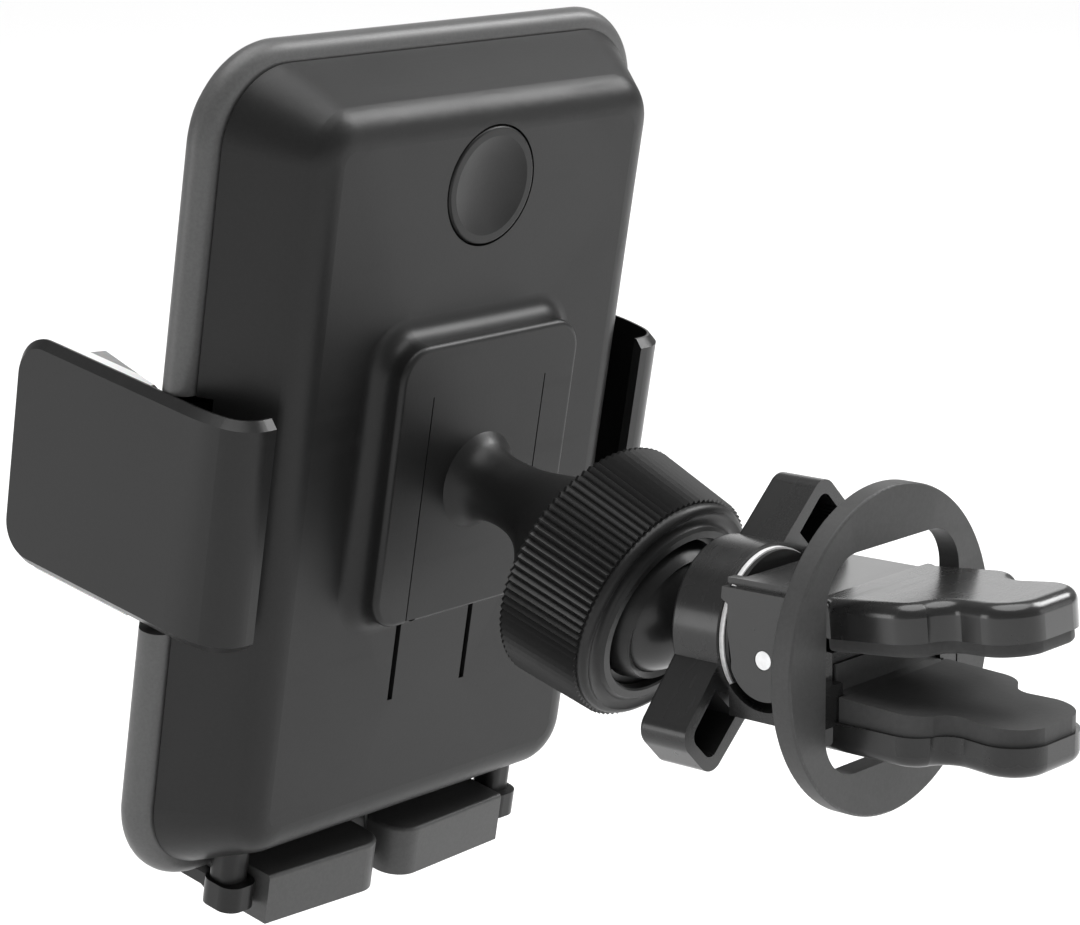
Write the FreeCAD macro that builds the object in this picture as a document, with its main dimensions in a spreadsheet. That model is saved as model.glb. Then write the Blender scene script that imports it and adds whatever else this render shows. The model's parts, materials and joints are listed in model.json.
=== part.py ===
import FreeCAD, Part
import Sketcher
import math
import os

# Air vent phone holder.  Millimetres, +Z up, +Y from the phone towards the vent.
# The origin is the middle of the vent clip's grip, between the two jaw pads.
# The clip stands level; the cradle leans back on its ball joint.

V = FreeCAD.Vector
doc = FreeCAD.newDocument("vent_holder")

# ------------------------------------------------------------------ driving sizes
sheet = doc.addObject("Spreadsheet::Sheet", "Dims")
VALUES = [
    ("lean", 10.7), ("droop", 9.8), ("jaw_open", 5.7), ("grip_reach", 46.0),
    ("ball_high", 5.3), ("ball_back", 41.95),
    ("seam_wide", 69.66), ("seam_tall", 100.0), ("seam_corner", 9.45),
    ("rim_out", 2.0), ("shell_deep", 7.0), ("cavity_deep", 4.7),
    ("back_deep", 10.36), ("back_half_wide", 27.6), ("back_half_tall", 44.9),
    ("back_corner", 5.0), ("wall_thick", 1.8), ("seam_gap", 0.35), ("shoulder_round", 4.9), ("front_bevel", 4.1),
    ("boss_half", 15.4), ("boss_top", 18.3), ("boss_bottom", 17.0), ("boss_high", 3.98),
    ("boss_corner", 4.2), ("plate_half", 9.73), ("plate_top", 11.92), ("plate_bottom", 16.5),
    ("plate_thick", 3.14), ("slot_at", 6.39), ("slot_top", 19.09), ("slot_bottom", 29.14), ("slot_wide", 0.85),
    ("button_at", 35.45), ("button_round", 7.16), ("button_gap", 0.24), ("dish_round", 5.8), ("dish_deep", 1.1),
    ("arm_out", 38.2), ("arm_thick", 1.3), ("arm_front", 27.0), ("arm_top", 11.65), ("arm_bottom", 16.7),
    ("arm_corner", 5.0), ("arm_bevel", 1.0), ("cut_top", 11.5), ("cut_bottom", 18.0),
    ("gear_at", 2.25), ("gear_pitch", 5.0), ("gear_bore", 1.98), ("post_round", 1.9),
    ("leg_in", 21.6), ("leg_out", 25.6), ("leg_front", 1.2), ("leg_rear", 5.2),
    ("foot_top", 50.3), ("foot_bottom", 56.8), ("foot_out", 20.9),
    ("ball_round", 8.5), ("neck_round", 3.9), ("stem_round", 5.0),
    ("nut_front_round", 15.1), ("nut_rear_round", 14.3), ("nut_front_at", 9.04), ("nut_knurl", 11.34),
    ("nut_open", 9.9), ("nut_bore", 12.35), ("seat_in", 8.56), ("seat_out", 9.3), ("cup_in", 9.38), ("cup_out", 12.25),
    ("wing_ring", 9.3), ("wing_at", 11.3), ("wing_deep", 6.5), ("wing_reach", 18.3), ("wing_root", 4.5), ("wing_tip", 3.95),
    ("washer_at", 17.85), ("washer_thick", 0.6), ("washer_round", 8.85), ("disc_thick", 0.55), ("washer_bore", 5.3),
    ("pin_at", 24.2), ("pin_low", 1.15), ("pin_round", 1.05), ("cheek_out", 9.2), ("cheek_in", 6.4),
    ("throat_at", 33.6), ("base_low", 8.2), ("jaw_low", 9.3), ("jaw_line", 5.8),
    ("lobe_half", 10.3), ("waist_half", 6.45), ("tip_half", 6.9), ("tip_at", 56.7),
    ("upper_line", 2.3), ("upper_top", 6.55), ("upper_heel", 7.6),
    ("ring_at", 35.0), ("ring_thick", 2.66), ("ring_round", 18.45), ("hole_half_wide", 12.2), ("hole_half_tall", 12.3), ("hole_corner", 5.4),
]
for i, (name, value) in enumerate(VALUES):
    sheet.set("A%d" % (i + 1), name)
    sheet.set("B%d" % (i + 1), "%.4f" % value)
    sheet.setAlias("B%d" % (i + 1), name)
doc.recompute()


class Q:
    """A size with both its value and the expression that drives it."""
    def __init__(self, value, text):
        self.v = float(value)
        self.t = text
    def __add__(self, o):
        o = q(o)
        return Q(self.v + o.v, "(%s + %s)" % (self.t, o.t))
    __radd__ = __add__
    def __sub__(self, o):
        o = q(o)
        return Q(self.v - o.v, "(%s - %s)" % (self.t, o.t))
    def __rsub__(self, o):
        o = q(o)
        return Q(o.v - self.v, "(%s - %s)" % (o.t, self.t))
    def __mul__(self, k):
        return Q(self.v * k, "(%s * %.6f)" % (self.t, k))
    __rmul__ = __mul__
    def __truediv__(self, k):
        return Q(self.v / k, "(%s / %.6f)" % (self.t, k))
    def __neg__(self):
        return Q(-self.v, "(-1 * %s)" % self.t)


def q(x):
    return x if isinstance(x, Q) else Q(x, "%.5f" % x)


TABLE = dict(VALUES)


def D(name):
    return Q(TABLE[name], "Dims.%s" % name)


def n(x):
    return x.v if isinstance(x, Q) else float(x)


PARTS = []          # (label, object)


def keep(obj, label, placement):
    obj.Label = label
    if placement is not None:
        obj.Placement = placement
    PARTS.append((label, obj))
    return obj


# ------------------------------------------------------------------ sketch helpers
def plane(body, role):
    for f in body.Origin.OriginFeatures:
        if f.Role == role:
            return f


def sketch(body, name, role, off=0.0):
    s = body.newObject("Sketcher::SketchObject", name)
    s.AttachmentSupport = [(plane(body, role), "")]
    s.MapMode = "FlatFace"
    s.AttachmentOffset = FreeCAD.Placement(V(0, 0, n(off)), FreeCAD.Rotation())
    if isinstance(off, Q):
        s.setExpression("AttachmentOffset.Base.z", off.t)
    return s


def con(s, kind, *args):
    """Add a constraint; a Q as last value also binds it to the sheet."""
    val = args[-1]
    k = s.addConstraint(Sketcher.Constraint(kind, *args[:-1], n(val)))
    if isinstance(val, Q):
        s.setExpression("Constraints[%d]" % k, val.t)
    return k


def three_point(a, m, c):
    """Centre, radius and counter-clockwise angles of the arc a-m-c."""
    ax, ay, bx, by, cx, cy = a[0], a[1], m[0], m[1], c[0], c[1]
    d = 2.0 * (ax * (by - cy) + bx * (cy - ay) + cx * (ay - by))
    ux = ((ax * ax + ay * ay) * (by - cy) + (bx * bx + by * by) * (cy - ay) + (cx * cx + cy * cy) * (ay - by)) / d
    uy = ((ax * ax + ay * ay) * (cx - bx) + (bx * bx + by * by) * (ax - cx) + (cx * cx + cy * cy) * (bx - ax)) / d
    r = math.hypot(ax - ux, ay - uy)
    ccw = (bx - ax) * (cy - ay) - (by - ay) * (cx - ax) > 0
    t0, t1 = math.atan2(ay - uy, ax - ux), math.atan2(cy - uy, cx - ux)
    if not ccw:
        t0, t1 = t1, t0
    while t1 <= t0:
        t1 += 2 * math.pi
    return ux, uy, r, t0, t1, ccw


def add_path(s, start, segs):
    """Closed outline of lines ('L', (x, y)) and arcs ('A', (mx, my), (x, y))."""
    first = s.GeometryCount
    pts = [start]
    cur = start
    kinds = []
    for g in segs:
        end = g[-1]
        if g[0] == "L":
            s.addGeometry(Part.LineSegment(V(n(cur[0]), n(cur[1]), 0), V(n(end[0]), n(end[1]), 0)))
            kinds.append(("L", False, 0))
        else:
            cx, cy, r, a0, a1, ccw = three_point((n(cur[0]), n(cur[1])), (n(g[1][0]), n(g[1][1])), (n(end[0]), n(end[1])))
            s.addGeometry(Part.ArcOfCircle(Part.Circle(V(cx, cy, 0), V(0, 0, 1), r), a0, a1))
            kinds.append(("A", not ccw, r))
        cur = end
        pts.append(end)
    m = len(kinds)
    def sp(i):
        return 2 if kinds[i][1] else 1
    def ep(i):
        return 1 if kinds[i][1] else 2
    for i in range(m):
        j = (i + 1) % m
        s.addConstraint(Sketcher.Constraint("Coincident", first + i, ep(i), first + j, sp(j)))
    for i in range(m):
        p = pts[i]
        for axis, kind in ((0, "DistanceX"), (1, "DistanceY")):
            con(s, kind, -1, 1, first + i, sp(i), p[axis])
    for i in range(m):
        if kinds[i][0] == "A":
            s.addConstraint(Sketcher.Constraint("Radius", first + i, kinds[i][2]))


def add_poly(s, pts):
    add_path(s, pts[0], [("L", p) for p in pts[1:]] + [("L", pts[0])])


def add_circle(s, cx, cy, r):
    k = s.addGeometry(Part.Circle(V(n(cx), n(cy), 0), V(0, 0, 1), n(r)))
    con(s, "DistanceX", -1, 1, k, 3, cx)
    con(s, "DistanceY", -1, 1, k, 3, cy)
    con(s, "Radius", k, r)


def add_rrect(s, cx, cy, hw, hh, r):
    """Rounded rectangle held by its four corner centres and one radius each."""
    first = s.GeometryCount
    X, Y, W, H, R = n(cx), n(cy), n(hw), n(hh), n(r)
    corners = [(1, 1, 0), (-1, 1, 90), (-1, -1, 180), (1, -1, 270)]
    for sx, sy, a0 in corners:
        c = Part.Circle(V(X + sx * (W - R), Y + sy * (H - R), 0), V(0, 0, 1), R)
        s.addGeometry(Part.ArcOfCircle(c, math.radians(a0), math.radians(a0 + 90)))
    lines = [((X + W - R, Y + H), (X - W + R, Y + H)), ((X - W, Y + H - R), (X - W, Y - H + R)),
             ((X - W + R, Y - H), (X + W - R, Y - H)), ((X + W, Y - H + R), (X + W, Y + H - R))]
    for a, b in lines:
        s.addGeometry(Part.LineSegment(V(a[0], a[1], 0), V(b[0], b[1], 0)))
    for i in range(4):
        arc, nxt, line = first + i, first + (i + 1) % 4, first + 4 + i
        s.addConstraint(Sketcher.Constraint("Tangent", arc, 2, line, 1))
        s.addConstraint(Sketcher.Constraint("Tangent", line, 2, nxt, 1))
    for i, (sx, sy, a0) in enumerate(corners):
        con(s, "DistanceX", -1, 1, first + i, 3, q(cx) + (q(hw) - q(r)) * sx)
        con(s, "DistanceY", -1, 1, first + i, 3, q(cy) + (q(hh) - q(r)) * sy)
        con(s, "Radius", first + i, r)


def feature(body, kind, name, prof, length=None, rev=False, mid=False):
    f = body.newObject("PartDesign::" + kind, name)
    f.Profile = prof
    if length is not None:
        f.Length = n(length)
        if isinstance(length, Q):
            f.setExpression("Length", length.t)
    f.Reversed = rev
    if mid:
        f.Midplane = True
    doc.recompute()
    return f


def checked(body, kind, name, prof, length, rev=False, mid=False):
    """A pocket whose direction is proved by the volume it takes away."""
    before = body.Shape.Volume
    f = feature(body, kind, name, prof, length, rev, mid)
    after = body.Shape.Volume
    if not after < before - 1e-3:
        raise RuntimeError("%s cuts nothing in %s" % (name, body.Label))
    return f


def edges_where(shape, test):
    out = []
    for i, e in enumerate(shape.Edges):
        p = e.valueAt((e.FirstParameter + e.LastParameter) / 2.0)
        a = e.valueAt(e.FirstParameter)
        b = e.valueAt(e.LastParameter)
        if test(a, b, p, e):
            out.append("Edge%d" % (i + 1))
    return out


def dress(body, kind, name, test, size):
    tip = body.Tip
    names = edges_where(tip.Shape, test)
    if not names:
        raise RuntimeError("no edges for %s" % name)
    f = body.newObject("PartDesign::" + kind, name)
    f.Base = (tip, names)
    if kind == "Fillet":
        f.Radius = n(size)
        if isinstance(size, Q):
            f.setExpression("Radius", size.t)
    else:
        f.Size = n(size)
        if isinstance(size, Q):
            f.setExpression("Size", size.t)
    doc.recompute()
    if "Invalid" in f.State or "Error" in f.State or f.Shape.isNull() or not f.Shape.isValid():
        raise RuntimeError("%s failed on %s" % (name, body.Label))
    return f


def revolve(body, name, prof, role="V_Axis"):
    f = body.newObject("PartDesign::Revolution", name)
    f.Profile = prof
    f.ReferenceAxis = (prof, [role])
    f.Angle = 360.0
    doc.recompute()
    return f


def body(name):
    b = doc.addObject("PartDesign::Body", name)
    return b


def close(a, b, tol=1e-3):
    return abs(a - b) < tol


# ------------------------------------------------------------------ the frames of the groups
def turn_x(deg):
    return FreeCAD.Rotation(V(1, 0, 0), deg)


CLIP = FreeCAD.Placement(V(0, -TABLE["grip_reach"], 0), FreeCAD.Rotation())      # clip, ball centre at its zero
_r = turn_x(-TABLE["lean"])
_b = V(0, TABLE["ball_back"], -TABLE["ball_high"])
CRADLE = CLIP.multiply(FreeCAD.Placement(-(_r.multVec(_b)), _r))                  # cradle, zero in the middle of the seam
SOCKET = CLIP.multiply(FreeCAD.Placement(V(0, 0, 0), turn_x(-TABLE["lean"] - TABLE["droop"])))   # socket, ball centre at its zero
_p = V(0, TABLE["pin_at"], -TABLE["pin_low"])
_j = turn_x(TABLE["jaw_open"])
JAW = CLIP.multiply(FreeCAD.Placement(_p - _j.multVec(_p), _j))                   # upper jaw, drawn with its jaws parallel


def at(group, x=0.0, y=0.0, z=0.0, rot=None):
    return group.multiply(FreeCAD.Placement(V(x, y, z), rot or FreeCAD.Rotation()))


# ================================================================== CRADLE
# ---- front shell: grey tray with the rounded rim
b = body("FrontShell")
s = sketch(b, "shell_outline", "XZ_Plane")
add_rrect(s, 0, 0, D("seam_wide") / 2 + D("rim_out"), D("seam_tall") / 2 + D("rim_out"), D("seam_corner") + D("rim_out"))
feature(b, "Pad", "shell_block", s, D("shell_deep"))
dress(b, "Chamfer", "front_slope", lambda a, c, p, e: close(a.y, -7) and close(c.y, -7) and close(p.y, -7), D("front_bevel"))
dress(b, "Fillet", "rim_round", lambda a, c, p, e: close(a.y, 0) and close(c.y, 0) and close(p.y, 0), 2.0)
dress(b, "Fillet", "rim_outer", lambda a, c, p, e: close(a.y, -2.9) and close(c.y, -2.9) and close(p.y, -2.9), 1.9)
dress(b, "Fillet", "front_round", lambda a, c, p, e: close(a.y, -7) and close(c.y, -7) and close(p.y, -7), 2.0)
s = sketch(b, "shell_cavity", "XZ_Plane")
add_rrect(s, 0, 0, D("seam_wide") / 2 - 1.43, D("seam_tall") / 2 - 1.4, D("seam_corner") - 1.25)
checked(b, "Pocket", "cavity", s, D("cavity_deep"), rev=True)
for side in (1, -1):
    s = sketch(b, "arm_window_%d" % (side + 2), "XZ_Plane")
    add_poly(s, [(32.0 * side, -D("cut_bottom")), (38.5 * side, -D("cut_bottom")), (38.5 * side, D("cut_top")), (32.0 * side, D("cut_top"))])
    checked(b, "Pocket", "window_%d" % (side + 2), s, D("cavity_deep"), rev=True)
    s = sketch(b, "arm_notch_%d" % (side + 2), "XZ_Plane")
    add_poly(s, [(34.0 * side, -D("cut_bottom")), (38.5 * side, -D("cut_bottom")), (38.5 * side, D("cut_top")), (34.0 * side, D("cut_top"))])
    checked(b, "Pocket", "notch_%d" % (side + 2), s, D("shell_deep") + 0.5, rev=True)
s = sketch(b, "gear_post", "XZ_Plane", D("cavity_deep") + 0.3)
add_circle(s, 0, -D("gear_at"), D("post_round"))
feature(b, "Pad", "post", s, 4.1, rev=True)
s = sketch(b, "spring_seat", "XZ_Plane", D("cavity_deep") + 0.3)
add_circle(s, 0, D("button_at"), 1.35)
feature(b, "Pad", "seat", s, 1.6, rev=True)
for side in (1, -1):
    s = sketch(b, "lever_lug_%d" % (side + 2), "XZ_Plane", D("cavity_deep") + 0.3)
    add_poly(s, [(3.4 * side, 19.8), (5.4 * side, 19.8), (5.4 * side, 24.2), (3.4 * side, 24.2)])
    feature(b, "Pad", "lug_%d" % (side + 2), s, 8.9, rev=True)
s = sketch(b, "lever_pivot", "YZ_Plane", -6.0)
add_circle(s, 2.0, 22.0, 0.92)
checked(b, "Pocket", "pivot_hole", s, 12.0, rev=True)
SCREWS = [(22.0, 31.0), (-22.0, 31.0), (13.0, -31.0), (-13.0, -31.0)]
s = sketch(b, "screw_holes", "XZ_Plane")
for x, z in SCREWS:
    add_circle(s, x, z, 1.15)
checked(b, "Pocket", "through_holes", s, 8.0, rev=True)
s = sketch(b, "pad_recess", "XZ_Plane", D("shell_deep"))
add_rrect(s, 0, 0, 27.0, 36.0, 6.0)
checked(b, "Pocket", "recess", s, 0.6, rev=False)
s = sketch(b, "head_sinks", "XZ_Plane", D("shell_deep"))
for x, z in SCREWS:
    add_circle(s, x, z, 2.3)
checked(b, "Pocket", "sinks", s, 1.5, rev=False)
keep(b, "front_shell", CRADLE)

# ---- grip pad on the front
b = body("FrontPad")
s = sketch(b, "pad_outline", "XZ_Plane", D("shell_deep") - 0.6)
add_rrect(s, 0, 0, 26.8, 35.8, 5.8)
feature(b, "Pad", "pad_sheet", s, 1.5)
dress(b, "Fillet", "pad_round", lambda a, c, p, e: close(a.y, -7.9) and close(c.y, -7.9) and close(p.y, -7.9), 0.5)
s = sketch(b, "pad_grooves", "XZ_Plane", D("shell_deep") + 0.9)
for k in range(7):
    z = -24.0 + 8.0 * k
    add_poly(s, [(-22.0, z - 0.6), (22.0, z - 0.6), (22.0, z + 0.6), (-22.0, z + 0.6)])
checked(b, "Pocket", "grooves", s, 0.6, rev=False)
keep(b, "front_pad", CRADLE)

# ---- rear cover: dark tub with sloping sides and the raised boss
b = body("RearCover")
s0 = sketch(b, "tub_mouth", "XZ_Plane", -D("seam_gap"))
add_rrect(s0, 0, 0, D("seam_wide") / 2 - 0.38, D("seam_tall") / 2 - 0.25, D("seam_corner") - 0.25)
s1 = sketch(b, "tub_back", "XZ_Plane", -D("back_deep"))
add_rrect(s1, 0, 0, D("back_half_wide"), D("back_half_tall"), D("back_corner"))
f = b.newObject("PartDesign::AdditiveLoft", "tub")
f.Profile = s1
f.Sections = [s0]
f.Ruled = True
doc.recompute()
YB = TABLE["back_deep"]
dress(b, "Fillet", "shoulder", lambda a, c, p, e: close(a.y, YB) and close(c.y, YB) and close(p.y, YB), D("shoulder_round"))
s = sketch(b, "boss_outline", "XZ_Plane", -D("back_deep") + 1.0)
add_rrect(s, 0, (D("boss_top") - D("boss_bottom")) / 2, D("boss_half"), (D("boss_top") + D("boss_bottom")) / 2, D("boss_corner"))
feature(b, "Pad", "boss", s, D("boss_high") + 1.0, rev=True)
YT = TABLE["back_deep"] + TABLE["boss_high"]
dress(b, "Fillet", "boss_foot", lambda a, c, p, e: close(a.y, YB) and close(c.y, YB) and close(p.y, YB) and abs(p.x) < 16 and abs(p.z) < 19, 2.4)
dress(b, "Fillet", "boss_edge", lambda a, c, p, e: close(a.y, YT) and close(c.y, YT) and close(p.y, YT), 0.7)
h0 = sketch(b, "hollow_mouth", "XZ_Plane", -D("seam_gap") + 0.02)
add_rrect(h0, 0, 0, D("seam_wide") / 2 - 2.4, D("seam_tall") / 2 - 2.2, D("seam_corner") - 2.05)
h1 = sketch(b, "hollow_back", "XZ_Plane", -D("back_deep") + D("wall_thick"))
add_rrect(h1, 0, 0, 26.4, 42.8, 3.4)
before = b.Shape.Volume
f = b.newObject("PartDesign::SubtractiveLoft", "hollow")
f.Profile = h1
f.Sections = [h0]
f.Ruled = True
doc.recompute()
if not b.Shape.Volume < before - 1000:
    raise RuntimeError("the tub stayed solid")
s = sketch(b, "lip_ring", "XZ_Plane", -D("seam_gap") - 0.3)
add_rrect(s, 0, 0, D("seam_wide") / 2 - 1.58, D("seam_tall") / 2 - 1.55, D("seam_corner") - 1.4)
add_rrect(s, 0, 0, D("seam_wide") / 2 - 2.6, D("seam_tall") / 2 - 2.5, D("seam_corner") - 2.3)
feature(b, "Pad", "lip", s, 1.9)
for side in (1, -1):
    s = sketch(b, "arm_gate_%d" % (side + 2), "XZ_Plane", 1.6)
    add_poly(s, [(30.5 * side, -D("cut_bottom")), (38.5 * side, -D("cut_bottom")), (38.5 * side, D("cut_top")), (30.5 * side, D("cut_top"))])
    checked(b, "Pocket", "gate_%d" % (side + 2), s, 3.6, rev=False)
s = sketch(b, "screw_posts", "XZ_Plane", 4.6)
for x, z in SCREWS:
    add_circle(s, x, z, 2.6)
feature(b, "Pad", "posts", s, 13.6, rev=True)
s = sketch(b, "post_bores", "XZ_Plane", 4.6)
for x, z in SCREWS:
    add_circle(s, x, z, 1.0)
checked(b, "Pocket", "bores", s, 10.5, rev=False)
s = sketch(b, "button_hole", "XZ_Plane", -D("back_deep") - 0.5)
add_circle(s, 0, D("button_at"), D("button_round") + D("button_gap"))
checked(b, "Pocket", "button_way", s, 3.5, rev=True)
s = sketch(b, "tray_slots", "XZ_Plane", -D("back_deep") - 0.5)
for side in (1, -1):
    add_poly(s, [(D("slot_at") * side - D("slot_wide") / 2, -D("slot_bottom")), (D("slot_at") * side + D("slot_wide") / 2, -D("slot_bottom")),
                 (D("slot_at") * side + D("slot_wide") / 2, -D("slot_top")), (D("slot_at") * side - D("slot_wide") / 2, -D("slot_top"))])
checked(b, "Pocket", "slots", s, 3.5, rev=True)
s = sketch(b, "plate_seat", "XZ_Plane", -D("back_deep") - D("boss_high") - 0.5)
add_poly(s, [(-D("plate_half") - 0.1, -D("plate_bottom")), (D("plate_half") + 0.1, -D("plate_bottom")),
             (D("plate_half") + 0.1, D("plate_top")), (-D("plate_half") - 0.1, D("plate_top"))])
checked(b, "Pocket", "seat_pocket", s, D("plate_thick") + 0.56, rev=True)
s = sketch(b, "pry_notch", "XZ_Plane", -D("back_deep") - D("boss_high") - 0.5)
add_poly(s, [(9.83, -16.5), (9.7, -18.5), (8.0, -16.5)])
checked(b, "Pocket", "notch", s, 3.2, rev=True)
STEM_SCREWS = [(6.2, 7.6), (-6.2, 7.6), (6.2, -12.2), (-6.2, -12.2)]
s = sketch(b, "stem_screw_holes", "XZ_Plane", -D("back_deep") - 2.0)
for x, z in STEM_SCREWS:
    add_circle(s, x, z, 1.1)
checked(b, "Pocket", "stem_holes", s, 6.0, rev=True)
s = sketch(b, "leg_gates", "XY_Plane", -54.0)
for side in (1, -1):
    add_poly(s, [((D("leg_in") - 0.3) * side, D("leg_front") - 0.3), ((D("leg_out") + 0.3) * side, D("leg_front") - 0.3),
                 ((D("leg_out") + 0.3) * side, D("leg_rear") + 0.3), ((D("leg_in") - 0.3) * side, D("leg_rear") + 0.3)])
checked(b, "Pocket", "leg_ways", s, 12.0, rev=True)
keep(b, "rear_cover", CRADLE)

# ---- release button: round, dished, with a hidden flange and stem
b = body("ReleaseButton")
s = sketch(b, "button_section", "XY_Plane")
R = D("button_round")
add_path(s, (0, 3.15), [("L", (0.8, 3.15)), ("L", (2.0, 3.9)), ("L", (2.0, 7.2)), ("L", (8.2, 7.2)), ("L", (8.2, 8.35)), ("L", (R, 8.35)), ("L", (R, 10.2)),
                        ("A", (R - 0.09, 10.43), (R - 0.32, 10.52)), ("L", (D("dish_round") + 0.25, 10.52)),
                        ("A", (D("dish_round") * 0.52, 9.71), (0, 9.42)), ("L", (0, 3.15))])
revolve(b, "button_turned", s)
s = sketch(b, "flange_flat", "XZ_Plane", -8.35)
add_poly(s, [(-9.0, 6.7), (9.0, 6.7), (9.0, 9.0), (-9.0, 9.0)])
checked(b, "Pocket", "flat", s, 1.3, rev=True)
keep(b, "release_button", at(CRADLE, 0, 0, TABLE["button_at"]))

# ---- release lever: rocks on its pin and lifts the pawl
b = body("ReleaseLever")
s = sketch(b, "lever_side", "YZ_Plane")
add_path(s, (1.0, 37.6), [("L", (1.0, 24.3)), ("A", (-0.3, 22.0), (1.0, 19.7)), ("L", (1.0, 7.8)), ("L", (-2.28, 7.4)), ("L", (-2.28, 6.2)), ("L", (1.0, 5.2)),
                          ("L", (3.0, 5.2)), ("L", (3.0, 19.7)), ("A", (4.3, 22.0), (3.0, 24.3)), ("L", (3.0, 37.6)), ("L", (1.0, 37.6))])
feature(b, "Pad", "lever_plate", s, 5.2, mid=True)
s = sketch(b, "lever_waist", "XZ_Plane", 5.0)
for side in (1, -1):
    add_poly(s, [(1.2 * side, 5.0), (3.0 * side, 5.0), (3.0 * side, 18.0), (1.2 * side, 18.0)])
checked(b, "Pocket", "waist", s, 10.0, rev=False)
s = sketch(b, "pawl_sides", "XZ_Plane", 5.0)
for side in (1, -1):
    add_poly(s, [(0.5 * side, 5.0), (3.0 * side, 5.0), (3.0 * side, 9.0), (0.5 * side, 9.0)])
checked(b, "Pocket", "pawl_waist", s, 5.95, rev=False)
s = sketch(b, "lever_bore", "YZ_Plane", -4.0)
add_circle(s, 2.0, 22.0, 0.96)
checked(b, "Pocket", "bore", s, 8.0, rev=True)
keep(b, "release_lever", CRADLE)

pin = doc.addObject("Part::Cylinder", "LeverPin")
pin.Radius = 0.9
pin.Height = 10.8
keep(pin, "lever_pin", at(CRADLE, -5.4, 2.0, 22.0, FreeCAD.Rotation(V(0, 1, 0), 90)))

# ---- arms: thin curved side plates on racks, mirrored
def arm(name, side):
    b = body(name)
    o, t = D("arm_out"), D("arm_thick")
    a15 = math.radians(15.0)
    # plan of the plate: straight, then wrapping the cover's shoulder
    r1, r2 = 20.0, 4.5
    y0 = 2.6
    xo = n(o)
    c1 = (xo - r1, y0)
    p1 = (c1[0] + r1 * math.cos(a15), c1[1] + r1 * math.sin(a15))
    m1 = (c1[0] + r1 * math.cos(a15 / 2), c1[1] + r1 * math.sin(a15 / 2))
    c2 = (p1[0] - r2 * math.cos(a15), p1[1] - r2 * math.sin(a15))
    a2 = math.radians(52.5)
    m2 = (c2[0] + r2 * math.cos(a2), c2[1] + r2 * math.sin(a2))
    p2 = (c2[0], c2[1] + r2)
    tt = n(t)
    q1 = (c1[0] + (r1 - tt) * math.cos(a15), c1[1] + (r1 - tt) * math.sin(a15))
    k1 = (c1[0] + (r1 - tt) * math.cos(a15 / 2), c1[1] + (r1 - tt) * math.sin(a15 / 2))
    k2 = (c2[0] + (r2 - tt) * math.cos(a2), c2[1] + (r2 - tt) * math.sin(a2))
    q2 = (c2[0], c2[1] + r2 - tt)
    end = 31.9
    def X(v):
        return q(v) * side
    def P(p):
        return (X(p[0]), q(p[1]))
    s = sketch(b, "plate_plan", "XY_Plane", -D("arm_bottom"))
    add_path(s, (X(o), -D("arm_front")),
             [("L", (X(o), q(y0))), ("A", P(m1), P(p1)), ("A", P(m2), P(p2)), ("L", P((end, p2[1]))), ("L", P((end, q2[1]))),
              ("L", P(q2)), ("A", P(k2), P(q1)), ("A", P(k1), (X(o - t), q(y0))), ("L", (X(o - t), -D("arm_front"))), ("L", (X(o), -D("arm_front")))])
    feature(b, "Pad", "plate", s, D("arm_top") + D("arm_bottom"))
    dress(b, "Fillet", "front_corners", lambda a, c, p, e: close(p.y, -27) and close(a.y, -27) and close(c.y, -27) and close(a.z, c.z) and abs(a.x - c.x) > 0.5, D("arm_corner"))
    def outer(a, c, p, e):
        if p.y < 2.7:
            on = close(abs(p.x), xo, 0.02) and close(abs(a.x), xo, 0.3) and close(abs(c.x), xo, 0.3)
        elif abs(p.x) > c1[0] + 1 and p.y < p1[1]:
            on = close(math.hypot(abs(p.x) - c1[0], p.y - c1[1]), r1, 0.02)
        else:
            on = close(math.hypot(abs(p.x) - c2[0], p.y - c2[1]), r2, 0.02) or (close(p.y, p2[1], 0.02) and abs(p.x) < c2[0])
        return on and (close(a.z, 11.65) and close(c.z, 11.65) or (close(abs(p.x), xo, 0.02) and p.y < -22.0))
    dress(b, "Chamfer", "outer_bevel", outer, D("arm_bevel"))
    s = sketch(b, "web", "XZ_Plane", 1.0)
    add_poly(s, [(29.0 * side, -16.2), (37.2 * side, -16.2), (37.2 * side, 10.2), (29.0 * side, 10.2)])
    feature(b, "Pad", "web_plate", s, 3.4)
    # rack: teeth of module 1 on the side facing the pinion
    gz = -TABLE["gear_at"]
    pitch = math.pi
    flip = 1 if side > 0 else -1
    def Z(d):
        return gz + flip * d
    tooth = []
    k = -6
    xs = []
    while k <= 1:
        xs.append((k + 0.5) * pitch)
        k += 1
    for c in xs:
        if c - 1.2 < -18.6:
            continue
        tooth += [(c - 1.16, 6.25), (c - 0.40, 4.12), (c + 0.40, 4.12), (c + 1.16, 6.25)]
    pts = [(-18.6, 11.25), (-18.6, 6.25)] + tooth + [(29.4, 6.25), (29.4, 11.25)]
    s = sketch(b, "rack", "XZ_Plane", 2.4)
    add_poly(s, [(x * side, Z(d)) for x, d in pts])
    feature(b, "Pad", "rack_bar", s, 2.0)
    s = sketch(b, "ratchet", "XZ_Plane", 2.4)
    s2 = sketch(b, "spring_peg", "XZ_Plane", 2.6)
    for j in range(8):
        x = -2.0 * j * side
        add_poly(s, [(x - 0.75, Z(6.6)), (x + 0.75, Z(6.6)), (x + 0.75, Z(11.0)), (x - 0.75, Z(11.0))])
    if side > 0:
        checked(b, "Pocket", "ratchet_teeth", s, 0.6, rev=True)
    else:
        doc.removeObject(s.Name)
    add_circle(s2, -17.2 * side, Z(8.75), 0.6)
    feature(b, "Pad", "peg", s2, 4.6, rev=True)
    return b


keep(arm("LeftArm", 1), "left_arm", CRADLE)
keep(arm("RightArm", -1), "right_arm", CRADLE)


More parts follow.
